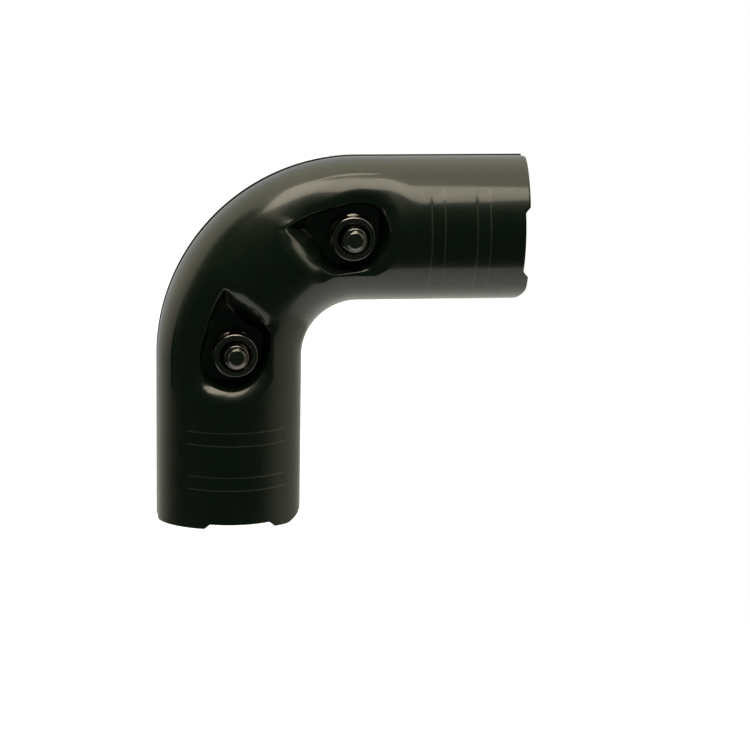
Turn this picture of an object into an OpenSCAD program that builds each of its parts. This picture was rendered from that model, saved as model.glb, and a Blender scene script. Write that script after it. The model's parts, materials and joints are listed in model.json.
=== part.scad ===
// 90 degree joint for lean tube: two pressed steel half shells that two bolts clamp round the tubes.
// The origin lies on the lower tube's axis, midway between the grip ribs. The lower tube leaves
// along -Z, the other along +X, and the bolts lie along Y. Millimetres.

/* [Tube and sheet] */
// Outer diameter of the tube that the joint grips
tube_d = 28; // [26:0.5:32]
// Thickness of the pressed sheet
sheet_t = 2; // [1.6:0.1:2.4]
// How far the grip ribs rise from the socket's wall to the tube, and are pressed in from outside
rib_rise = 0.2; // [0.1:0.05:0.4]

/* [Elbow] */
// From the crossing of the two tube axes to each mouth
leg_l = 66; // [60:0.5:80]
// Radius of the bend, at the tube's axis
bend_r = 28.4; // [25:0.2:32]
// Gap between the two half shells
parting_gap = 1.9; // [0.8:0.1:3]

/* [Mouth] */
// How far each half's edge leans back at its crown
mouth_lean = 1.2; // [0:0.1:3]
// Depth of the notch in each half's edge
notch_d = 1; // [0.6:0.1:3]
// Reach of the notch's floor towards the outside of the bend
notch_out = 5.5; // [3:0.5:8]
// Reach of the notch's floor towards the inside of the bend
notch_in = 8; // [3:0.5:9]
// Slope of the notch's two ends, measured along the edge
notch_run = 1; // [0.4:0.1:2]
// Radius of the corners where the mouth meets the parting line
corner_r = 2; // [1:0.25:3]
// How far the mouth slants back to the parting line, on the inside of the bend
slant_back = 2.8; // [1:0.2:4]
// Where that slant starts, from the parting line towards the crown
slant_run = 12.5; // [8:0.5:14]

/* [Grip ribs] */
// Width of one rib
rib_w = 3; // [2:0.25:5]
// From the mouth to the first rib's middle
rib_from_mouth = 11.5; // [8:0.5:13]
// Spacing of the ribs
rib_pitch = 10.1; // [6:0.1:11]
// Number of ribs in each socket half
rib_count = 2; // [1:1:2]
// Angle that one rib spans
rib_span = 85; // [40:5:120]

/* [Bolts and nuts] */
// Thread diameter
bolt_d = 6; // [5:0.5:6]
// Length of the bolt under its head
bolt_l = 25; // [23:1:30]
// From the crossing of the tube axes to the bolt, along the leg
bolt_at = 26; // [24:0.5:28]
// How far the bolt sits from the tube's axis, towards the inside of the bend
bolt_in = 0.3; // [0:0.1:1]
// Clearance of the bolt in the shells' holes, on the diameter
hole_play = 0.6; // [0.3:0.1:1]
// Clearance of the bolt in the nut, on the diameter
thread_play = 0.1; // [0.05:0.05:0.2]
// Width of the nut across its flats
nut_af = 10; // [8:0.5:10.5]
// Height of the nut
nut_h = 5; // [4:0.25:5.5]
// Diameter of the bolt's head
head_d = 10; // [8.5:0.5:11]
// Height of the bolt's head
head_h = 6; // [4:0.5:6.5]
// Width of the hexagon socket in the head, across its flats
key_af = 5; // [4:0.5:5.5]
// Depth of the hexagon socket
key_depth = 3; // [2:0.25:4]

/* [Pockets] */
// From the parting plane to the pocket's floor
floor_y = 8.9; // [8:0.1:9.5]
// Radius of the pocket's floor round the bolt
pocket_r = 7.4; // [7:0.1:8]
// How far the floor's centre lies from the bolt, towards the mouth
pocket_shift = 1.2; // [0:0.1:2]
// From the bolt to the pocket's pointed end, along the leg
tip_l = 12.9; // [11:0.1:14]
// How far the point lies towards the outside of the bend
tip_out = 1.7; // [0:0.1:3]
// From the bolt to the pocket's blunt corner, along the leg
heel_l = 5.4; // [4:0.1:7]
// How far the blunt corner lies towards the inside of the bend
heel_in = 5; // [4:0.1:6]

/* [Hidden] */
$fn = 64;
eps = 1;
in_r = tube_d / 2 + rib_rise;
out_r = in_r + sheet_t;
straight_l = leg_l - bend_r;
half_gap = parting_gap / 2;
shell_reach = leg_l + out_r + eps;
grip_at = leg_l - rib_from_mouth - (rib_count - 1) * rib_pitch / 2;
hole_d = bolt_d + hole_play;
tip_r = 0.9;
heel_r = 2.4;
taper = 0.8;
tip_taper = 1.6;
outer_slope = 12;
rim_y = out_r + 0.5;
edge_cut = 0.6;
point_cut = 1.1;
black_coat = [0.07, 0.07, 0.065];
black_oxide = [0.16, 0.16, 0.15];

// Places a child, drawn in a leg's own frame, on the upper leg. A leg's frame has its origin where
// the tube axes cross, +X towards the mouth and +Z towards the outside of the bend.
module on_upper_leg() {
    translate([0, 0, grip_at])
        children();
}

// Places the same child on the lower leg, as the mirror image about the corner's diagonal.
module on_lower_leg() {
    translate([0, 0, grip_at])
        mirror([1, 0, 1])
            children();
}

module on_both_legs() {
    on_upper_leg() children();
    on_lower_leg() children();
}

// A bent rod of radius r, whose ends stand the given length past both mouths.
module elbow(r, past) {
    translate([bend_r, 0, grip_at - bend_r])
        rotate([90, 0, 0])
            rotate_extrude(angle = 90, start = 90)
                translate([bend_r, 0])
                    circle(r);
    on_both_legs()
        translate([bend_r, 0, 0])
            rotate([0, 90, 0])
                cylinder(r = r, h = straight_l + past);
}

// A flat plate with the pocket's outline, in a leg's frame. The outline grows by grow all round,
// and open spreads the upper end of the pocket.
module pocket_plate(y, grow, open) {
    translate([bolt_at, -y, -bolt_in])
        rotate([90, 0, 0]) {
            plate_disc(pocket_shift, 0, pocket_r + open * taper + grow);
            plate_disc(-tip_l - open * tip_taper, tip_out + open * taper, tip_r + grow);
            plate_disc(-heel_l, -heel_in, heel_r + open * taper + grow);
            plate_disc(pocket_shift, open * outer_slope, pocket_r + grow);
            plate_disc(-heel_l, open * outer_slope, heel_r + open * taper + grow);
        }
}

module plate_disc(x, z, r) {
    translate([x, z, 0])
        cylinder(r = r, h = 0.02, $fn = 32);
}

// The room that a pocket takes out of one half: a flat floor with walls that open outwards.
module pocket(floor, grow) {
    hull() {
        pocket_plate(floor, grow, 0);
        pocket_plate(rim_y, grow, 1);
    }
}

// One band round the crown of a half socket, between the radii r1 and r2.
module rib_band(r1, r2, at) {
    translate([at - rib_w / 2, 0, 0])
        rotate([0, 90, 0])
            rotate_extrude(angle = rib_span, start = 270 - rib_span / 2)
                translate([r1, 0])
                    square([r2 - r1, rib_w]);
}

module rib_bands(r1, r2) {
    for (i = [0 : rib_count - 1])
        rib_band(r1, r2, leg_l - rib_from_mouth - i * rib_pitch);
}

// What trims the mouth of one half: the leaning edge, the notch, the slant and the rounded corners.
module mouth_trim() {
    lean = atan(mouth_lean / (out_r - half_gap));
    translate([leg_l, -half_gap, 0])
        rotate([0, 0, -lean])
            translate([0, -2 * out_r, -2 * out_r])
                cube([2 * out_r, 4 * out_r, 4 * out_r]);
    floor_x = leg_l - mouth_lean - notch_d;
    far_x = leg_l + eps;
    run = notch_run * (far_x - floor_x) / notch_d;
    translate([0, -out_r / 2, 0])
        rotate([90, 0, 0])
            linear_extrude(out_r)
                polygon([
                    [floor_x, notch_out],
                    [floor_x, -notch_in],
                    [far_x, -notch_in - run],
                    [far_x, notch_out + run],
                ]);
    slant = atan(slant_back / slant_run);
    translate([leg_l, -half_gap - slant_run, -2 * out_r])
        rotate([0, 0, slant])
            cube([out_r, 2 * slant_run, 2 * out_r]);
    corner_trim(leg_l, 0);
    corner_trim(leg_l - slant_back, -2 * out_r);
}

// Rounds one corner of a mouth that ends at the given place, from the given height up.
module corner_trim(at, from) {
    translate([at - corner_r, -half_gap - corner_r, from])
        linear_extrude(2 * out_r)
            difference() {
                square(corner_r + slant_back);
                circle(corner_r);
            }
}

// The front half. The sheet keeps its thickness where the pockets are pressed into it.
module half_shell() {
    difference() {
        elbow(out_r, 0);
        difference() {
            elbow(in_r, eps);
            on_both_legs() {
                pocket(floor_y - sheet_t, sheet_t);
                rib_bands(tube_d / 2, in_r + eps);
            }
        }
        on_both_legs() {
            pocket(floor_y, 0);
            rib_bands(out_r - rib_rise, out_r + eps);
            mouth_trim();
            translate([bolt_at, 0, -bolt_in])
                rotate([90, 0, 0])
                    cylinder(d = hole_d, h = out_r);
        }
        translate([-shell_reach, -half_gap, -shell_reach])
            cube([3 * shell_reach, 2 * out_r, 3 * shell_reach]);
    }
}

module front_shell() {
    color(black_coat)
        half_shell();
}

module rear_shell() {
    color(black_coat)
        mirror([0, 1, 0])
            half_shell();
}

// A socket head bolt along Y: its head seats on the rear pocket's floor.
module bolt() {
    color(black_oxide)
        translate([bolt_at, floor_y, -bolt_in])
            rotate([90, 0, 0])
                difference() {
                    union() {
                        cylinder(d = bolt_d, h = bolt_l - point_cut);
                        translate([0, 0, bolt_l - point_cut])
                            cylinder(d1 = bolt_d, d2 = bolt_d - 2 * point_cut, h = point_cut);
                        translate([0, 0, -head_h + edge_cut])
                            cylinder(d = head_d, h = head_h - edge_cut);
                        translate([0, 0, -head_h])
                            cylinder(d1 = head_d - 2 * edge_cut, d2 = head_d, h = edge_cut);
                    }
                    translate([0, 0, -head_h - eps])
                        cylinder(d = key_af / cos(30), h = key_depth + eps, $fn = 6);
                }
}

// A hexagon nut, seated on the front pocket's floor with two corners across the leg.
module nut() {
    corner_d = nut_af / cos(30);
    crown_d = 0.92 * nut_af;
    color(black_oxide)
        translate([bolt_at, -floor_y, -bolt_in])
            rotate([90, 0, 0])
                difference() {
                    intersection() {
                        rotate([0, 0, 30])
                            cylinder(d = corner_d, h = nut_h, $fn = 6);
                        nut_blank(corner_d / 2, crown_d / 2);
                    }
                    translate([0, 0, -eps])
                        cylinder(d = bolt_d + thread_play, h = nut_h + 2 * eps);
                }
}

// The turned blank that gives the hexagon its chamfered corners.
module nut_blank(r, crown_r) {
    rise = (r - crown_r) * tan(30);
    rotate_extrude()
        polygon([[0, 0], [crown_r, 0], [r, rise], [r, nut_h - rise], [crown_r, nut_h], [0, nut_h]]);
}

module upper_bolt() { on_upper_leg() bolt(); }
module lower_bolt() { on_lower_leg() bolt(); }
module upper_nut() { on_upper_leg() nut(); }
module lower_nut() { on_lower_leg() nut(); }

front_shell();
rear_shell();
upper_bolt();
lower_bolt();
upper_nut();
lower_nut();
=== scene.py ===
import json
import math

import bmesh
import bpy
from mathutils import Matrix, Vector


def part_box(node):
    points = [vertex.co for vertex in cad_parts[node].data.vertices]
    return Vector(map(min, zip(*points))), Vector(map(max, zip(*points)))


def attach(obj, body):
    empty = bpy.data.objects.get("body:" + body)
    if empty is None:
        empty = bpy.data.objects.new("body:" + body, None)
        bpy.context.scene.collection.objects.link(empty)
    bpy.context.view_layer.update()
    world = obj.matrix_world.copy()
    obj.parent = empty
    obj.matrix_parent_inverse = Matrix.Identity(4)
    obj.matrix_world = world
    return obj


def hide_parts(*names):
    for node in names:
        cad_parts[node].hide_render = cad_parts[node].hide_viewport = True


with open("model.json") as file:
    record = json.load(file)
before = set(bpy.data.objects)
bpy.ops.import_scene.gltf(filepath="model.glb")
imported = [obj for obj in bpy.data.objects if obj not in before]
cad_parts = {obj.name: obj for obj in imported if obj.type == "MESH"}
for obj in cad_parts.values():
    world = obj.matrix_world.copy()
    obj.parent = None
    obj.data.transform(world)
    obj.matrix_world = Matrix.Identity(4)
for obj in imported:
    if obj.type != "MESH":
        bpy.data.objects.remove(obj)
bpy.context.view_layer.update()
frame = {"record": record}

# The joint is modelled in one leg's own frame and mirrored about the corner's diagonal, and the
# rear half is the front one mirrored about the parting plane. Metres.
MM = 0.001

# ---------------------------------------------------------------- measures, from the frame
record = frame["record"]
sockets = {mount["name"]: mount for mount in record["mounts"]}
shell_low, shell_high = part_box("front_shell")
bolt_low, bolt_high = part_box("upper_bolt")
nut_low, nut_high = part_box("upper_nut")

corner = Vector((sockets["lower_socket"]["pos_m"][0], 0, sockets["upper_socket"]["pos_m"][2]))
tube_r = sockets["upper_socket"]["dims"]["r_mm"] * MM
out_r = -shell_low.y
half_gap = -shell_high.y
bolt_at = (bolt_low.x + bolt_high.x) / 2 - corner.x
bolt_in = corner.z - (bolt_low.z + bolt_high.z) / 2
floor_y = -nut_high.y
nut_h = nut_high.y - nut_low.y
nut_af = nut_high.x - nut_low.x
bolt_end = -bolt_low.y
head_top = bolt_high.y
head_r = (bolt_high.x - bolt_low.x) / 2

rib_rise = 0.2 * MM
in_r = tube_r + rib_rise
sheet_t = 2 * MM
bend_r = 28.4 * MM
rib_pitch = 10.1 * MM
rib_from_mouth = 11.5 * MM
grip_mid = sockets["upper_socket"]["pos_m"][0] - corner.x
outer_rib = grip_mid + rib_pitch / 2
inner_rib = grip_mid - rib_pitch / 2
leg_l = outer_rib + rib_from_mouth
mouth_lean = 1.2 * MM
notch_d = 1.0 * MM
notch_out = 5.5 * MM
notch_in = 8 * MM
corner_r = 2 * MM
slant_back = 2.8 * MM
slant_run = 12.5 * MM
hole_r = 3.3 * MM
bolt_r = 3 * MM
key_af = 5 * MM
key_depth = 3 * MM

# From the leg's frame, +X to the mouth and +Z to the outside of the bend, onto either leg.
ONTO_UPPER = Matrix.Translation(corner)
ONTO_LOWER = ONTO_UPPER @ Matrix(((0, 0, -1, 0), (0, 1, 0, 0), (-1, 0, 0, 0), (0, 0, 0, 1)))


def ease(x):
    """Runs smoothly from 0 to 1 as x does."""
    x = min(max(x, 0.0), 1.0)
    return x * x * (3 - 2 * x)


def rise(x, start, width):
    """Runs smoothly from 0 to 1 while x goes so wide from its start."""
    return ease((x - start) / width)


def mix(a, b, share):
    """The number that lies the given share of the way from a to b."""
    return a + (b - a) * share


def mix_all(a, b, share):
    """The same for each number of two lists."""
    return [mix(low, high, share) for low, high in zip(a, b)]


# ---------------------------------------------------------------- the pocket's outline
# A pocket is laid out from its bolt: u runs along the leg to the mouth, and v to the outside of
# the bend. These are the straight sides where its wall starts: normal along u and v, and distance.
OUTER_SIDE = (0.0, 1.0, 8.0 * MM)
TIP_SIDE = (-0.2425, 0.9701, 7.66 * MM)
POINT_SIDE = (-0.438, 0.899, 9.31 * MM)
BLUNT_SIDE = (-0.656, -0.7546, 10.16 * MM)
TIP_BLUNT_SIDE = (-0.838, -0.546, 11.64 * MM)
INNER_SIDE = (0.0, -1.0, 7.85 * MM)
# The side that bounds the dish in place of TIP_SIDE.
DISH_SIDE = (-0.3481, 0.9376, 7.38 * MM)
# The round side towards the mouth: its middle, its radius, and its flare beyond the middle.
MOUTH_MID = (-0.56 * MM, 1.17 * MM)
MOUTH_R = 8.65 * MM
MOUTH_FLARE = 0.25
# How widely the corners between the sides are rounded.
OUTER_BLEND = 0.8 * MM
MOUTH_BLEND = 3.0 * MM
BLUNT_BLEND = 1.5 * MM
HEEL_BLEND = 2.4 * MM
TIP_BLEND = 0.8 * MM
DISH_MOUTH_BLEND = 2.4 * MM
DISH_TIP_BLEND = 5 * MM


def soft_max(a, b, k):
    """The larger of two (distance, normal u, normal v), rounded where they meet."""
    h = min(max(0.5 + 0.5 * (a[0] - b[0]) / k, 0.0), 1.0)
    return (mix(b[0], a[0], h) + k * h * (1 - h), mix(b[1], a[1], h), mix(b[2], a[2], h))


def soft_min(a, b, k):
    """The smaller of two numbers, rounded where they meet."""
    h = min(max(0.5 + 0.5 * (b - a) / k, 0.0), 1.0)
    return mix(b, a, h) - k * h * (1 - h)


def past_side(side, u, v):
    """Distance past one straight side, with the direction in which it grows."""
    return (side[0] * u + side[1] * v - side[2], side[0], side[1])


def past_mouth(u, v):
    """The same for the round side towards the mouth."""
    off_u, off_v = max(u - MOUTH_MID[0], 0.0), v - MOUTH_MID[1]
    reach = max(math.hypot(off_u, off_v), 1e-9)
    gap = reach - MOUTH_R + MOUTH_FLARE * min(u - MOUTH_MID[0], 0.0)
    return (gap, off_u / reach, off_v / reach)


def past_body(u, v, tip_side, mouth_blend):
    """The same for the outer sides and the mouth."""
    outer = soft_max(past_side(OUTER_SIDE, u, v), past_side(tip_side, u, v), OUTER_BLEND)
    outer = soft_max(outer, past_side(POINT_SIDE, u, v), OUTER_BLEND)
    return soft_max(outer, past_mouth(u, v), mouth_blend)


def past_blunt(u, v):
    """The same for the two blunt sides."""
    return soft_max(past_side(BLUNT_SIDE, u, v), past_side(TIP_BLUNT_SIDE, u, v), BLUNT_BLEND)


def past_outline(u, v, tip_side=TIP_SIDE, mouth_blend=MOUTH_BLEND, tip_blend=TIP_BLEND):
    """The same for the whole outline."""
    lower = soft_max(past_side(INNER_SIDE, u, v), past_blunt(u, v), HEEL_BLEND)
    return soft_max(past_body(u, v, tip_side, mouth_blend), lower, tip_blend)


# ---------------------------------------------------------------- the pocket's depth
# Each side's brim: how far it reaches past the outline, and how gently it bends.
MOUTH_BRIM = (2.75 * MM, 3.0 * MM)
OUTER_BRIM = (0.35 * MM, 0.6 * MM)
INNER_BRIM = (0.5 * MM, 1.0 * MM)
HEEL_BRIM = (2.0 * MM, 4.0 * MM)
BLUNT_BRIM = (2.65 * MM, 3.0 * MM)
TIP_BRIM = (1.35 * MM, 3.0 * MM)
BRIM_BLEND = 0.8 * MM
# The wall's slope, and how softly it meets the brim above and the floor below.
WALL_SLOPE = 4.7
GENTLE_SLOPE = 1.9
WALL_BLEND = 0.4 * MM
# The dish: its slope, the steeper stretch by the wall, and how wide each is.
DISH_SLOPE = 0.25
DISH_STEEP = 0.32
DISH_OVERLAP = 0.4 * MM
DISH_STEEP_WIDTH = 2.6 * MM
DISH_STEEP_BLEND = 1.0 * MM
DISH_STRAIGHT = 5.5 * MM
DISH_WIDTH = 8.5 * MM


def brim(gap, shape):
    """How far a rounded brim falls towards its wall."""
    reach, bend = shape
    return max(reach - gap, 0.0) ** 2 / (2 * bend)


def shared_fall(a, b):
    """The smaller of two brims' falls, rounded where they meet, and 0 where either is."""
    return soft_min(a, b, max(min((a + b) / 2, BRIM_BLEND), 1e-9))


def dish_drop(u, v):
    """How far the long dish on the outside of the bend lies under the rod's surface."""
    gap, _, n_v = past_outline(u, v, DISH_SIDE, DISH_MOUTH_BLEND, DISH_TIP_BLEND)
    gap += DISH_OVERLAP
    share = rise(n_v, 0.05, 0.9) * (1 - rise(-u, 8 * MM, 12 * MM))
    run_out = DISH_WIDTH - DISH_STRAIGHT
    if gap < DISH_STRAIGHT:
        tail = DISH_STRAIGHT + run_out / 2 - gap
    else:
        tail = max(DISH_WIDTH - gap, 0.0) ** 2 / (2 * run_out)
    steep = DISH_STEEP * (1 - rise(-u, 7 * MM, 7 * MM))
    near = soft_min(0.0, gap - DISH_STEEP_WIDTH, DISH_STEEP_BLEND)
    return share * (DISH_SLOPE * tail - steep * near)


def pocket_drop(height, u, v, grow):
    """How far the pocket's dish, brims, wall and floor lie under the rod's surface.

    The floor lies at the given height under it, and the outline grows by grow, or by half of
    that towards the outside of the bend.
    """
    gap, n_u, n_v = past_outline(u, v)
    grow *= 1 - 0.5 * rise(n_v, 0.6, 0.35)
    heel = rise(-u, 4 * MM, 3 * MM)
    tip = rise(v, -1.5 * MM, 5 * MM)
    body, _, body_v = past_body(u, v, TIP_SIDE, MOUTH_BLEND)
    outer = rise(body_v, 0.5, 0.45)
    fall = brim(body - grow, mix_all(MOUTH_BRIM, OUTER_BRIM, outer))
    inner = brim(past_side(INNER_SIDE, u, v)[0] - grow, mix_all(INNER_BRIM, HEEL_BRIM, heel))
    blunt = brim(past_blunt(u, v)[0] - grow, mix_all(BLUNT_BRIM, TIP_BRIM, tip))
    fall = shared_fall(shared_fall(fall, inner), blunt)
    gentle = max(rise(-n_u, 0, 0.6), rise(-u, 1 * MM, 10 * MM) * rise(n_v, 0, 0.9))
    wall = mix(WALL_SLOPE, GENTLE_SLOPE, gentle) * (grow - gap)
    fall = max(-soft_min(-fall, -wall, WALL_BLEND), 0.0)
    return soft_min(height, dish_drop(u, v) + fall, WALL_BLEND)


# ---------------------------------------------------------------- one face of the pressed sheet
# A pocket changes the sheet only between these places along the leg, in front of this plane,
# and so far past its outline.
PRESS_FROM = -26 * MM
PRESS_TO = 15 * MM
PRESS_PLANE = -3 * MM
PRESS_REACH = 10 * MM
# The mesh is finer round the pocket's wall: between these places, and so far from the outline.
FINE_FROM = -18 * MM
FINE_TO = 13 * MM
FINE_INSIDE = 1.7 * MM
FINE_OUTSIDE = 2.7 * MM
# The ribs reach this many degrees each way, round a middle that leans to the inside of the bend.
RIB_HALF = 42.2
RIB_LEAN = 2.9
RIB_END_SOFT = 1.6
# Half of a rib's width, with its soft edge, and that edge's own width.
RIB_HALF_WIDTH = 1.6 * MM
RIB_EDGE = 0.25 * MM
# The ribs show only faintly on the outer face.
RIB_MARK = 0.05 * MM
# So far from a rib's middle the mesh is finer, and twice as far the sheet is left as it is.
RIB_ZONE = 2 * MM
# The stretch of the leg that is drawn longer or shorter to meet its trimmed mouth.
MOUTH_ZONE = 7 * MM
# How much the pocket's outline grows on the inner face, less than the sheet's thickness.
INNER_GROW = 1.7 * MM
# The mesh of one leg, as stretches and their steps: round the arc to so many degrees from the
# crown, along the leg to so far from the corner, and round the bend by so many degrees.
ARC_STRETCHES = ((-79, 4), (-38, 11), (62, 92), (79, 6))
ARC_END_STEPS = 4
LEG_STRETCHES = ((leg_l - MOUTH_ZONE, 12),
                 (outer_rib + RIB_ZONE, 2), (outer_rib - RIB_ZONE, 16),
                 (inner_rib + RIB_ZONE, 6), (inner_rib - RIB_ZONE, 16),
                 (38.5 * MM, 5), (bend_r, 38))
BEND_STRETCHES = ((38, 60), (7, 5))
# Points closer than this are joined along the corner's diagonal, and on turned pieces.
SEAM_MERGE = 0.004 * MM
TURNED_MERGE = 0.001 * MM
# A rim edge this near to a bolt's axis belongs to that bolt's hole.
HOLE_REACH = 5 * MM
# Radius of the sheet's own edge.
EDGE_ROUND = 0.3 * MM


class Face:
    """The sheet's outer or inner face: its radius, its pockets' floor, how far their outline
    grows, how deep its ribs are, and whether its mesh is finer round the pockets' walls."""

    def __init__(self, r, floor, grow, rib, fine):
        self.r = r
        self.floor = floor
        self.grow = grow
        self.rib = rib
        self.fine = fine

    def plain_height(self, x, z):
        """Distance from the parting plane to the bent rod's surface over a point of that plane."""
        if x >= bend_r:
            off = z
        else:
            off = math.hypot(bend_r - x, bend_r + z) - bend_r
        return math.sqrt(max(self.r ** 2 - off ** 2, 0.0))

    def press_pocket(self, co):
        u = co.x - bolt_at
        v = co.z + bolt_in
        if not (PRESS_FROM < u < PRESS_TO and co.y < PRESS_PLANE):
            return
        if past_outline(u, v)[0] > PRESS_REACH:
            return
        plain = self.plain_height(co.x, co.z)
        drop = pocket_drop(plain - self.floor, u, v, self.grow)
        co.y = -plain + max(drop, 0.0)

    def press_ribs(self, co):
        if co.x < inner_rib - 2 * RIB_ZONE:
            return
        around = abs(math.degrees(math.atan2(co.z, -co.y)) + RIB_LEAN)
        depth = 0.0
        for rib in (inner_rib, outer_rib):
            off = abs(co.x - rib)
            depth = max(depth, ease((RIB_HALF_WIDTH - off) / RIB_EDGE))
        depth *= ease((RIB_HALF + RIB_END_SOFT / 2 - around) / RIB_END_SOFT)
        scale = 1 - self.rib * depth / self.r
        co.y *= scale
        co.z *= scale

    def trim_mouth(self, co):
        start = leg_l - MOUTH_ZONE
        if co.x <= start:
            return
        up = -co.y - half_gap
        edge = leg_l - mouth_lean * up / (out_r - half_gap)
        notch = leg_l - mouth_lean - notch_d
        notch += max(co.z - notch_out, -notch_in - co.z, 0)
        if co.z < 0:
            edge = min(edge, leg_l - slant_back * (1 - up / slant_run))
        edge = min(edge, notch)
        if up < corner_r:
            edge -= corner_r - math.sqrt(max(corner_r ** 2 - (corner_r - up) ** 2, 0))
        co.x = start + (co.x - start) * (edge - start) / (leg_l - start)


def points_of(items):
    """The vertices among what an operator returned."""
    return [item for item in items if isinstance(item, bmesh.types.BMVert)]


def draw_leg(face):
    """The face from a mouth to the middle of the bend, in the leg's frame: an arc, drawn along."""
    bm = bmesh.new()
    end = math.degrees(math.acos(half_gap / face.r))
    row = [bm.verts.new((leg_l, -half_gap, -face.r * math.sin(math.radians(end))))]
    at = -end
    for stop, steps in ARC_STRETCHES + ((end, ARC_END_STEPS),):
        swept = bmesh.ops.spin(bm, geom=row, cent=(0, 0, 0), axis=(1, 0, 0), dvec=(0, 0, 0),
                               angle=-math.radians(stop - at), steps=steps)
        row = points_of(swept["geom_last"])
        at = stop
    edges = list(bm.edges)
    at = leg_l
    for stop, steps in LEG_STRETCHES:
        for _ in range(steps):
            drawn = bmesh.ops.extrude_edge_only(bm, edges=edges)["geom"]
            edges = [item for item in drawn if isinstance(item, bmesh.types.BMEdge)]
            verts = points_of(drawn)
            edges = [edge for edge in edges if all(vert in verts for vert in edge.verts)]
            bmesh.ops.translate(bm, verts=verts, vec=((stop - at) / steps, 0, 0))
        at = stop
    row = edges + list({vert for edge in edges for vert in edge.verts})
    for sweep, steps in BEND_STRETCHES:
        swept = bmesh.ops.spin(bm, geom=row, cent=(bend_r, 0, -bend_r), axis=(0, 1, 0),
                               dvec=(0, 0, 0), angle=-math.radians(sweep), steps=steps)
        row = swept["geom_last"]
    return bm


def near_wall(vert):
    """Whether a point of the leg lies by the pocket's wall, where the mesh is finer."""
    u = vert.co.x - bolt_at
    gap = past_outline(u, vert.co.z + bolt_in)[0]
    return vert.co.y < PRESS_PLANE and FINE_FROM < u < FINE_TO and -FINE_INSIDE < gap < FINE_OUTSIDE


def face_mesh(face):
    """One whole face of the half shell, pressed and joined along the corner's diagonal."""
    bm = draw_leg(face)
    if face.fine:
        fine = [edge for edge in bm.edges if all(near_wall(vert) for vert in edge.verts)]
        bmesh.ops.subdivide_edges(bm, edges=fine, cuts=1, use_grid_fill=True)
    for vert in bm.verts:
        face.press_pocket(vert.co)
        face.press_ribs(vert.co)
        face.trim_mouth(vert.co)
    punch_hole(bm, hole_r)
    half = bm.verts[:] + bm.edges[:] + bm.faces[:]
    copy = bmesh.ops.duplicate(bm, geom=half)["geom"]
    bmesh.ops.transform(bm, matrix=ONTO_UPPER, verts=points_of(half))
    bmesh.ops.transform(bm, matrix=ONTO_LOWER, verts=points_of(copy))
    bmesh.ops.remove_doubles(bm, verts=bm.verts, dist=SEAM_MERGE)
    return bm


def punch_hole(bm, r):
    """Opens the bolt's hole in the pocket's floor and rounds its rim."""
    def reach(co):
        return math.hypot(co.x - bolt_at, co.z + bolt_in)
    cut = [f for f in bm.faces if reach(f.calc_center_median()) < r]
    bmesh.ops.delete(bm, geom=cut, context="FACES")
    for vert in bm.verts:
        away = reach(vert.co)
        if vert.is_boundary and away < 2 * r:
            vert.co.x = bolt_at + (vert.co.x - bolt_at) * r / away
            vert.co.z = (vert.co.z + bolt_in) * r / away - bolt_in


def near_bolt(edge):
    """1 or 2 for the rim of a bolt's hole, and 0 for the sheet's own edge."""
    mid = (edge.verts[0].co + edge.verts[1].co) / 2
    for number, onto in ((1, ONTO_UPPER), (2, ONTO_LOWER)):
        bolt = onto @ Vector((bolt_at, 0, -bolt_in))
        if math.hypot(mid.x - bolt.x, mid.z - bolt.z) < HOLE_REACH:
            return number
    return 0


def half_shell():
    """The half shell on the nuts' side: both faces, joined round the edge and the bolt holes."""
    outer = Face(out_r, floor_y, 0.0, RIB_MARK, True)
    inner = Face(in_r, floor_y - sheet_t, INNER_GROW, rib_rise, False)
    bm = face_mesh(outer)
    skin = bpy.data.meshes.new("inner_face")
    other = face_mesh(inner)
    other.to_mesh(skin)
    other.free()
    bm.from_mesh(skin)
    bpy.data.meshes.remove(skin)
    rims = {0: [], 1: [], 2: []}
    for edge in bm.edges:
        if edge.is_boundary:
            rims[near_bolt(edge)].append(edge)
    for edges in rims.values():
        bmesh.ops.bridge_loops(bm, edges=edges)
    bmesh.ops.recalc_face_normals(bm, faces=bm.faces)
    bmesh.ops.bevel(bm, geom=rims[0], offset=EDGE_ROUND, offset_type="OFFSET", segments=2,
                    profile=0.5, affect="EDGES", material=-1, clamp_overlap=True)
    return bm


# ---------------------------------------------------------------- turned pieces
def turned(profile, steps, closed=False):
    """A solid turned round Y from (radius, height) points. The profile closes on itself, or its
    first and last points lie on the axis."""
    bm = bmesh.new()
    verts = [bm.verts.new((r, y, 0)) for r, y in profile]
    path = verts + verts[:1] if closed else verts
    edges = [bm.edges.new(pair) for pair in zip(path, path[1:])]
    bmesh.ops.spin(bm, geom=verts + edges, cent=(0, 0, 0), axis=(0, 1, 0), dvec=(0, 0, 0),
                   angle=math.tau, steps=steps, use_merge=True)
    bmesh.ops.remove_doubles(bm, verts=bm.verts, dist=TURNED_MERGE)
    return bm


def stepped(start, stop, count):
    """The numbers from start to stop in so many equal steps."""
    return [mix(start, stop, i / count) for i in range(count + 1)]


def rounded_rim(r, y, size, degrees):
    """A round edge between the flat end at height y and the side at radius r. A size under 0
    rounds it towards -Y."""
    radius = abs(size)
    return [(r - radius * (1 - math.sin(a)), y + size * (1 - math.cos(a)))
            for a in map(math.radians, degrees)]


def hex_reach(angle, af, soft):
    """Distance from a hexagon's middle to its side at an angle, with its corners a little soft."""
    turn = (angle + math.pi / 6) % (math.pi / 3) - math.pi / 6
    at_corner = af / 2 / math.cos(math.pi / 6) - soft
    return soft_min(af / 2 / math.cos(turn), at_corner, 0.6 * soft)


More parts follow.
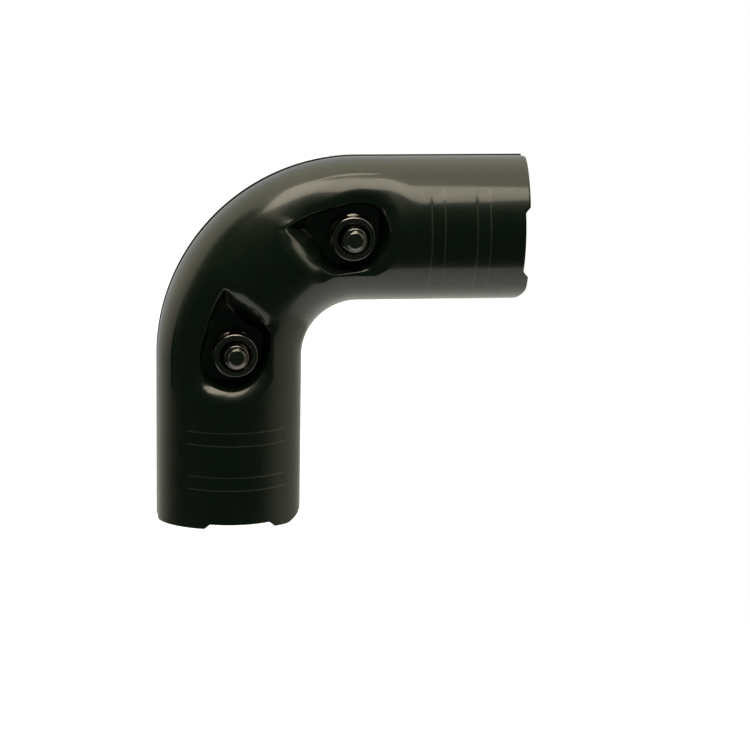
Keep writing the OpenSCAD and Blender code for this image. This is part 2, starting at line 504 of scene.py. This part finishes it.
def hexagon_nut():
    """A lock nut round Y, seated at -floor_y: a round collar over a blank that is trimmed to
    the hexagon. Its profile runs from the dark insert's mouth out over the collar and back."""
    back, front = -floor_y, -floor_y - nut_h
    bore = bolt_r + 0.05 * MM
    collar = 4.95 * MM
    rim = 0.6 * MM
    crown = nut_af / 2 / math.cos(math.pi / 6)
    crown_from = front + 2.35 * MM
    crown_to = back - 0.5 * MM
    seat = 4.7 * MM
    lip_depth = 0.3 * MM
    insert_y = front + 0.9 * MM
    bore_end = back - 0.4 * MM
    profile = [(bore, insert_y), (bore + 0.05 * MM, front + 0.55 * MM)]
    profile += [(bore + 0.3 * MM, front + 0.42 * MM)]
    for lean in map(math.radians, (0, 20, 45, 90)):
        lip_r = mix(bore + 0.35 * MM, bore + 0.65 * MM, math.sin(lean))
        profile.append((lip_r, front + lip_depth * (1 - math.sin(lean)) ** 2))
    profile += [(r, front) for r in stepped(bore + 0.8 * MM, collar - rim, 2)]
    profile += rounded_rim(collar, front, rim, (10, 20, 30, 40, 50, 60, 75, 90))
    profile += [(collar, front + down * MM) for down in (1.0, 1.5, 2.0)]
    shoulder = zip(stepped(collar, crown, 4), stepped(front + 2.05 * MM, crown_from, 4))
    profile += list(shoulder)
    profile += [(crown, y) for y in stepped(crown_from, crown_to, 5)[1:]]
    profile += list(zip(stepped(crown, seat, 4), stepped(crown_to, back, 4)))[1:]
    profile += [(r, back) for r in stepped(seat, bore + 0.4 * MM, 3)[1:]]
    profile += [(bore, bore_end)]
    profile += [(bore, y) for y in stepped(bore_end, insert_y, 5)[1:-1]]
    bm = turned(profile, 120, closed=True)
    for vert in bm.verts:
        away = math.hypot(vert.co.x, vert.co.z)
        limit = hex_reach(math.atan2(vert.co.z, vert.co.x), nut_af, 0.46 * MM)
        if away > limit:
            vert.co.x *= limit / away
            vert.co.z *= limit / away
    bmesh.ops.recalc_face_normals(bm, faces=bm.faces)
    return bm


def socket_bolt():
    """The bolt round Y: a knurled head with a hexagon socket, a plain neck, a rolled thread and
    a stepped end. The turned blank's rows are then drawn in to the hexagon, knurl and thread."""
    seat, tip = floor_y, -bolt_end
    floor = head_top - key_depth
    key = key_af / 2 / math.cos(math.pi / 6)
    key_floor = key - 0.25 * MM
    rim = 0.6 * MM
    knurls = 96
    knurl_depth = 0.09 * MM
    pitch = 1 * MM
    thread_depth = 0.55 * MM
    core_r = 2.35 * MM
    run_in = 1.2 * MM
    profile = [(0, floor - 0.7 * MM), (1.6 * MM, floor - 0.15 * MM), (key_floor, floor)]
    profile += [(key, y) for y in stepped(floor, head_top - 0.35 * MM, 6)]
    key_to = profile[-1][1]
    profile += [(key + 0.3 * MM, head_top), (key + 0.8 * MM, head_top)]
    profile += [(head_r - 0.75 * MM, head_top)]
    profile += rounded_rim(head_r, head_top, -rim, (15, 35, 55, 75, 90))
    knurl_to = head_top - 0.75 * MM
    knurl_from = seat + 0.35 * MM
    profile += [(head_r, y) for y in stepped(knurl_to, knurl_from, 6)]
    profile += [(head_r - 0.1 * MM, seat + 0.1 * MM), (head_r - 0.3 * MM, seat)]
    profile += [(bolt_r + 1 * MM, seat), (bolt_r, seat)]
    thread_from = seat - 4 * MM
    thread_to = tip + 2.3 * MM
    profile += [(bolt_r, y) for y in stepped(seat - 1 * MM, thread_from, 3)]
    profile += [(bolt_r, y) for y in stepped(thread_from, thread_to, 140)[1:]]
    # The end: a neck, a slope to the flat disc, and the disc's round edge.
    for r, up in ((2.78, 1.95), (2.72, 1.8), (2.7, 0.85), (2.66, 0.72), (2.56, 0.62), (2.42, 0.56),
                  (1.92, 0.36), (1.86, 0.3), (1.8, 0.16), (1.72, 0.06), (1.58, 0), (0, 0)):
        profile.append((r * MM, tip + up * MM))
    bm = turned(profile, knurls)
    for vert in bm.verts:
        x, y, z = vert.co
        away = math.hypot(x, z)
        angle = math.atan2(z, x)
        new = away
        if floor - 1e-7 <= y <= key_to + 1e-7 and 0.9 * key_floor < away < key + 1e-6:
            new = away / key * hex_reach(angle, key_af, 0.05 * MM)
        elif knurl_from < y < knurl_to and away > 0.98 * head_r:
            new = away - knurl_depth * (round(angle / math.tau * knurls) % 2)
        elif thread_to - 0.1 * MM < y < thread_from + 1e-7:
            turn = (y / pitch - angle / math.tau) % 1
            groove = 1 - abs(2 * turn - 1) * 1.35
            depth = thread_depth * ease(groove) * ease((thread_from - y) / run_in)
            new = min(away, max(bolt_r - depth, core_r))
        if away > 1e-9:
            vert.co.x = x * new / away
            vert.co.z = z * new / away
    bmesh.ops.recalc_face_normals(bm, faces=bm.faces)
    return bm


# ---------------------------------------------------------------- finishes
def principled(name):
    material = bpy.data.materials.new(name)
    material.use_nodes = True
    nodes, links = material.node_tree.nodes, material.node_tree.links
    return material, nodes, links, nodes["Principled BSDF"]


def grain(nodes, links, scale, detail, roughness=0.5):
    """A noise over the object's own place, with its scale per metre."""
    where = nodes.new("ShaderNodeTexCoord")
    noise = nodes.new("ShaderNodeTexNoise")
    noise.inputs["Scale"].default_value = scale
    noise.inputs["Detail"].default_value = detail
    noise.inputs["Roughness"].default_value = roughness
    links.new(where.outputs["Object"], noise.inputs["Vector"])
    return noise.outputs["Fac"]


def feed(links, socket, value):
    """Sets a socket to a number, or links it to another node's output."""
    if isinstance(value, (int, float)):
        socket.default_value = value
    else:
        links.new(value, socket)


def spread(nodes, links, value, low, high, out_low, out_high):
    """Maps a value from the range low to high onto the range out_low to out_high."""
    ranged = nodes.new("ShaderNodeMapRange")
    feed(links, ranged.inputs["Value"], value)
    feed(links, ranged.inputs["From Min"], low)
    feed(links, ranged.inputs["From Max"], high)
    feed(links, ranged.inputs["To Min"], out_low)
    feed(links, ranged.inputs["To Max"], out_high)
    return ranged.outputs["Result"]


def maths(nodes, links, operation, *values):
    step = nodes.new("ShaderNodeMath")
    step.operation = operation
    for socket, value in zip(step.inputs, values):
        feed(links, socket, value)
    return step.outputs[0]


def ramp(nodes, links, value, stops):
    """Colours a value by (position, colour) stops."""
    band = nodes.new("ShaderNodeValToRGB")
    while len(band.color_ramp.elements) < len(stops):
        band.color_ramp.elements.new(0.5)
    for element, (at, colour) in zip(band.color_ramp.elements, stops):
        element.position = at
        element.color = (*colour, 1)
    links.new(value, band.inputs["Fac"])
    return band.outputs["Color"]


def bumped(nodes, links, shader, value, strength, distance):
    bump = nodes.new("ShaderNodeBump")
    bump.inputs["Strength"].default_value = strength
    bump.inputs["Distance"].default_value = distance
    links.new(value, bump.inputs["Height"])
    links.new(bump.outputs["Normal"], shader.inputs["Normal"])


def painted_rib_highlights(nodes, links):
    """More than 0 along the ribs' two long edges, where a highlight is painted onto the coat, and 0
    elsewhere.
    """
    where = nodes.new("ShaderNodeTexCoord")
    parts = nodes.new("ShaderNodeSeparateXYZ")
    links.new(where.outputs["Object"], parts.inputs["Vector"])

    def maths_of(operation, *values):
        return maths(nodes, links, operation, *values)
    x, y, z = (parts.outputs[name] for name in "XYZ")
    down = maths_of("SUBTRACT", corner.z, z)
    upper = (x, maths_of("MULTIPLY", down, -1.0))
    lower = (down, maths_of("MULTIPLY", x, -1.0))
    past = []
    for along, out in (upper, lower):
        off = maths_of("ABSOLUTE", maths_of("SUBTRACT", along, grip_mid))
        off = maths_of("ABSOLUTE", maths_of("SUBTRACT", off, rib_pitch / 2))
        turn = maths_of("ARCTAN2", out, maths_of("ABSOLUTE", y))
        turn = maths_of("ABSOLUTE", maths_of("ADD", turn, math.radians(RIB_LEAN)))
        side = maths_of("MULTIPLY", maths_of("SUBTRACT", turn, math.radians(RIB_HALF)), out_r)
        edge = maths_of("ABSOLUTE", maths_of("SUBTRACT", off, RIB_HALF_WIDTH - RIB_EDGE / 2))
        past.append(maths_of("MAXIMUM", edge, side))
    near = maths_of("MINIMUM", *past)
    return spread(nodes, links, near, 0.05 * MM, 0.2 * MM, 0.9, 0.0)


def black_coat_finish():
    """Glossy black electrocoat: a faint flow in the film, a soft grain and painted highlights along
    the rib edges.
    """
    material, nodes, links, shader = principled("black_coat_film")
    tone = ramp(nodes, links, grain(nodes, links, 90, 5, 0.6),
                ((0.30, (0.0050, 0.0150, 0.0082)),
                 (0.55, (0.0070, 0.0172, 0.0098)),
                 (0.75, (0.0112, 0.0200, 0.0125))))
    # Along the ribs' long edges the base colour is lightened to a painted highlight, which stands
    # in for the light those edges reflect.
    rib_highlight_mix = nodes.new("ShaderNodeMixRGB")
    links.new(painted_rib_highlights(nodes, links), rib_highlight_mix.inputs["Fac"])
    links.new(tone, rib_highlight_mix.inputs["Color1"])
    rib_highlight_mix.inputs["Color2"].default_value = (0.085, 0.090, 0.080, 1)
    links.new(rib_highlight_mix.outputs["Color"], shader.inputs["Base Color"])
    links.new(spread(nodes, links, grain(nodes, links, 260, 6, 0.65), 0.3, 0.7, 0.25, 0.36),
              shader.inputs["Roughness"])
    shader.inputs["Specular IOR Level"].default_value = 0.5
    shader.inputs["Coat Weight"].default_value = 0.8
    shader.inputs["Coat Roughness"].default_value = 0.12
    shader.inputs["Coat IOR"].default_value = 1.5
    bumped(nodes, links, shader, grain(nodes, links, 420, 2), 0.05, 0.2 * MM)
    return material


def black_oxide_finish():
    """Dark oiled oxide on turned steel: mottled, duller than the shells."""
    material, nodes, links, shader = principled("black_oxide_steel")
    tone = ramp(nodes, links, grain(nodes, links, 900, 6, 0.6),
                ((0.30, (0.19, 0.18, 0.17)),
                 (0.55, (0.26, 0.25, 0.235)),
                 (0.78, (0.35, 0.34, 0.32))))
    links.new(tone, shader.inputs["Base Color"])
    links.new(spread(nodes, links, grain(nodes, links, 2200, 5, 0.6), 0.3, 0.7, 0.15, 0.22),
              shader.inputs["Roughness"])
    shader.inputs["Metallic"].default_value = 1.0
    bumped(nodes, links, shader, grain(nodes, links, 5200, 4), 0.05, 0.04 * MM)
    return material


# ---------------------------------------------------------------- pieces
def piece(bm, name, material, node):
    """Makes the finished mesh an object at the origin that stands for a CAD node."""
    mesh = bpy.data.meshes.new(name)
    bm.to_mesh(mesh)
    bm.free()
    for polygon in mesh.polygons:
        polygon.use_smooth = True
    mesh.materials.append(material)
    thing = bpy.data.objects.new(name, mesh)
    bpy.context.scene.collection.objects.link(thing)
    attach(thing, "root")
    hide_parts(node)


coat = black_coat_finish()
oxide = black_oxide_finish()

front = half_shell()
rear = front.copy()
bmesh.ops.scale(rear, vec=(1, -1, 1), verts=rear.verts)
bmesh.ops.reverse_faces(rear, faces=rear.faces)
piece(front, "front_pressing", coat, "front_shell")
piece(rear, "rear_pressing", coat, "rear_shell")

for leg, onto in (("upper", ONTO_UPPER), ("lower", ONTO_LOWER)):
    place = onto @ Matrix.Translation((bolt_at, 0, -bolt_in))
    nut = hexagon_nut()
    bmesh.ops.transform(nut, matrix=place, verts=nut.verts)
    bmesh.ops.recalc_face_normals(nut, faces=nut.faces)
    piece(nut, leg + "_hexagon_nut", oxide, leg + "_nut")
    bolt = socket_bolt()
    bmesh.ops.transform(bolt, matrix=place, verts=bolt.verts)
    bmesh.ops.recalc_face_normals(bolt, faces=bolt.faces)
    piece(bolt, leg + "_socket_bolt", oxide, leg + "_bolt")


# ---------------------------------------------------------------- studio
TABLE_HALF_WIDTH = 0.21
TABLE_HALF_DEPTH = 1.4
TABLE_FRONT = 0.125
TABLE_BELOW = 0.13


def stage_floor():
    """A white table well under the joint, whose front and right edges lie a little before it."""
    bm = bmesh.new()
    bmesh.ops.create_grid(bm, x_segments=1, y_segments=1, size=1)
    bmesh.ops.scale(bm, vec=(TABLE_HALF_WIDTH, TABLE_HALF_DEPTH, 1), verts=bm.verts)
    bmesh.ops.translate(bm, verts=bm.verts,
                        vec=(0.0, TABLE_HALF_DEPTH - TABLE_FRONT, shell_low.z - TABLE_BELOW))
    mesh = bpy.data.meshes.new("table_top")
    bm.to_mesh(mesh)
    bm.free()
    material, nodes, links, shader = principled("table_white")
    shader.inputs["Base Color"].default_value = (0.80, 0.83, 0.95, 1)
    shader.inputs["Roughness"].default_value = 0.8
    shader.inputs["Specular IOR Level"].default_value = 0.2
    shader.inputs["Emission Color"].default_value = (1, 1, 1, 1)
    path = nodes.new("ShaderNodeLightPath")
    glow = maths(nodes, links, "MULTIPLY", path.outputs["Is Camera Ray"], 0.8)
    links.new(glow, shader.inputs["Emission Strength"])
    mesh.materials.append(material)
    table = bpy.data.objects.new("table_top", mesh)
    bpy.context.scene.collection.objects.link(table)


def tent_level(nodes, links, direction):
    """How bright the light tent is in a direction: a roof, a back and side walls, open in front,
    with one lamp that shines in from the right."""
    split = nodes.new("ShaderNodeSeparateXYZ")
    links.new(direction, split.inputs[0])
    x, y, z = split.outputs["X"], split.outputs["Y"], split.outputs["Z"]
    # The back wall brightens upwards into the roof, and more slowly on the right.
    height = maths(nodes, links, "MULTIPLY_ADD", z, 1.6, y)
    roof = spread(nodes, links, z, 0.6, 0.92, 0.62, 0.88)
    far = spread(nodes, links, x, 0.15, 0.5, 0.9, 1.15)
    wall = spread(nodes, links, height, -0.13, far, 0.05, roof)
    # The right wall is lit a little by itself.
    right = spread(nodes, links, x, 0.3, 0.7, 0.0, 0.23)
    cloth = maths(nodes, links, "MAXIMUM", wall, right)
    # In front the cloth ends at an opening, which reaches further back on the left.
    opening = spread(nodes, links, x, -0.60, -0.42, 0.06, -0.65)
    hem = spread(nodes, links, x, -0.60, -0.42, 0.22, -0.15)
    lean = spread(nodes, links, z, 0.3, 0.6, 0.0, 0.1)
    inward = maths(nodes, links, "SUBTRACT", y, lean)
    share = spread(nodes, links, inward, opening, hem, 0.0, 1.0)
    # The lamp, seen round one direction.
    aimed = nodes.new("ShaderNodeVectorMath")
    aimed.operation = "DOT_PRODUCT"
    aimed.inputs[1].default_value = (0.91, -0.07, 0.41)
    links.new(direction, aimed.inputs[0])
    lamp = spread(nodes, links, aimed.outputs["Value"], 0.925, 0.97, 0.0, 0.8)
    tint = ramp(nodes, links, y, ((0.55, (1.13, 1.03, 0.79)), (0.93, (1, 1, 1))))
    return maths(nodes, links, "MULTIPLY_ADD", cloth, share, lamp), tint


def stage_tent():
    """The light tent in a dim room. The camera itself sees white."""
    world = bpy.data.worlds.new("light_tent")
    bpy.context.scene.world = world
    world.use_nodes = True
    nodes, links = world.node_tree.nodes, world.node_tree.links
    nodes.clear()
    where = nodes.new("ShaderNodeTexCoord")
    level, tint = tent_level(nodes, links, where.outputs["Generated"])
    tent = nodes.new("ShaderNodeBackground")
    links.new(tint, tent.inputs["Color"])
    links.new(level, tent.inputs["Strength"])
    room = nodes.new("ShaderNodeBackground")
    room.inputs["Color"].default_value = (0.023, 0.033, 0.023, 1)
    lit = nodes.new("ShaderNodeAddShader")
    links.new(tent.outputs[0], lit.inputs[0])
    links.new(room.outputs[0], lit.inputs[1])
    white = nodes.new("ShaderNodeBackground")
    white.inputs["Color"].default_value = (1, 1, 1, 1)
    path = nodes.new("ShaderNodeLightPath")
    mixed = nodes.new("ShaderNodeMixShader")
    links.new(path.outputs["Is Camera Ray"], mixed.inputs[0])
    links.new(lit.outputs[0], mixed.inputs[1])
    links.new(white.outputs[0], mixed.inputs[2])
    out = nodes.new("ShaderNodeOutputWorld")
    links.new(mixed.outputs[0], out.inputs["Surface"])


def softbox(name, at, toward, size, turn, radiance):
    """A lamp of the given size, aimed at a point and turned about its own line."""
    lamp = bpy.data.lights.new(name, "AREA")
    lamp.shape = "RECTANGLE"
    lamp.size, lamp.size_y = size
    lamp.energy = radiance * math.pi * size[0] * size[1]
    lamp.color = (1, 0.90, 0.72)
    thing = bpy.data.objects.new(name, lamp)
    bpy.context.scene.collection.objects.link(thing)
    aim = (Vector(toward) - Vector(at)).to_track_quat("-Z", "Y").to_matrix().to_4x4()
    thing.matrix_world = Matrix.Translation(at) @ aim @ Matrix.Rotation(turn, 4, "Z")


def camera(target, distance, yaw, pitch, roll):
    """Stands in front, a little to the left and above, with a long lens."""
    forward = Vector((math.sin(yaw) * math.cos(pitch), math.cos(yaw) * math.cos(pitch),
                      -math.sin(pitch)))
    right = Vector((math.cos(yaw), -math.sin(yaw), 0))
    up = right.cross(forward)
    across = right * math.cos(roll) + up * math.sin(roll)
    upward = up * math.cos(roll) - right * math.sin(roll)
    data = bpy.data.cameras.new("front_camera")
    data.sensor_width = 36
    data.lens = 127.3
    data.clip_start = 0.01
    data.clip_end = 20
    thing = bpy.data.objects.new("front_camera", data)
    bpy.context.scene.collection.objects.link(thing)
    basis = Matrix((across, upward, -forward)).transposed()
    thing.matrix_world = Matrix.Translation(target - forward * distance) @ basis.to_4x4()
    bpy.context.scene.camera = thing


stage_floor()
stage_tent()
softbox("top_softbox", at=(-0.03, -0.18, 0.61), toward=(0.03, 0, 0.03), size=(0.66, 0.27),
        turn=math.radians(-20), radiance=3.3)
camera(Vector((33.17 * MM, 0, 15.5 * MM)), distance=0.6,
       yaw=math.radians(8.5), pitch=math.radians(13), roll=0.017)
bpy.context.scene.view_settings.view_transform = "Standard"
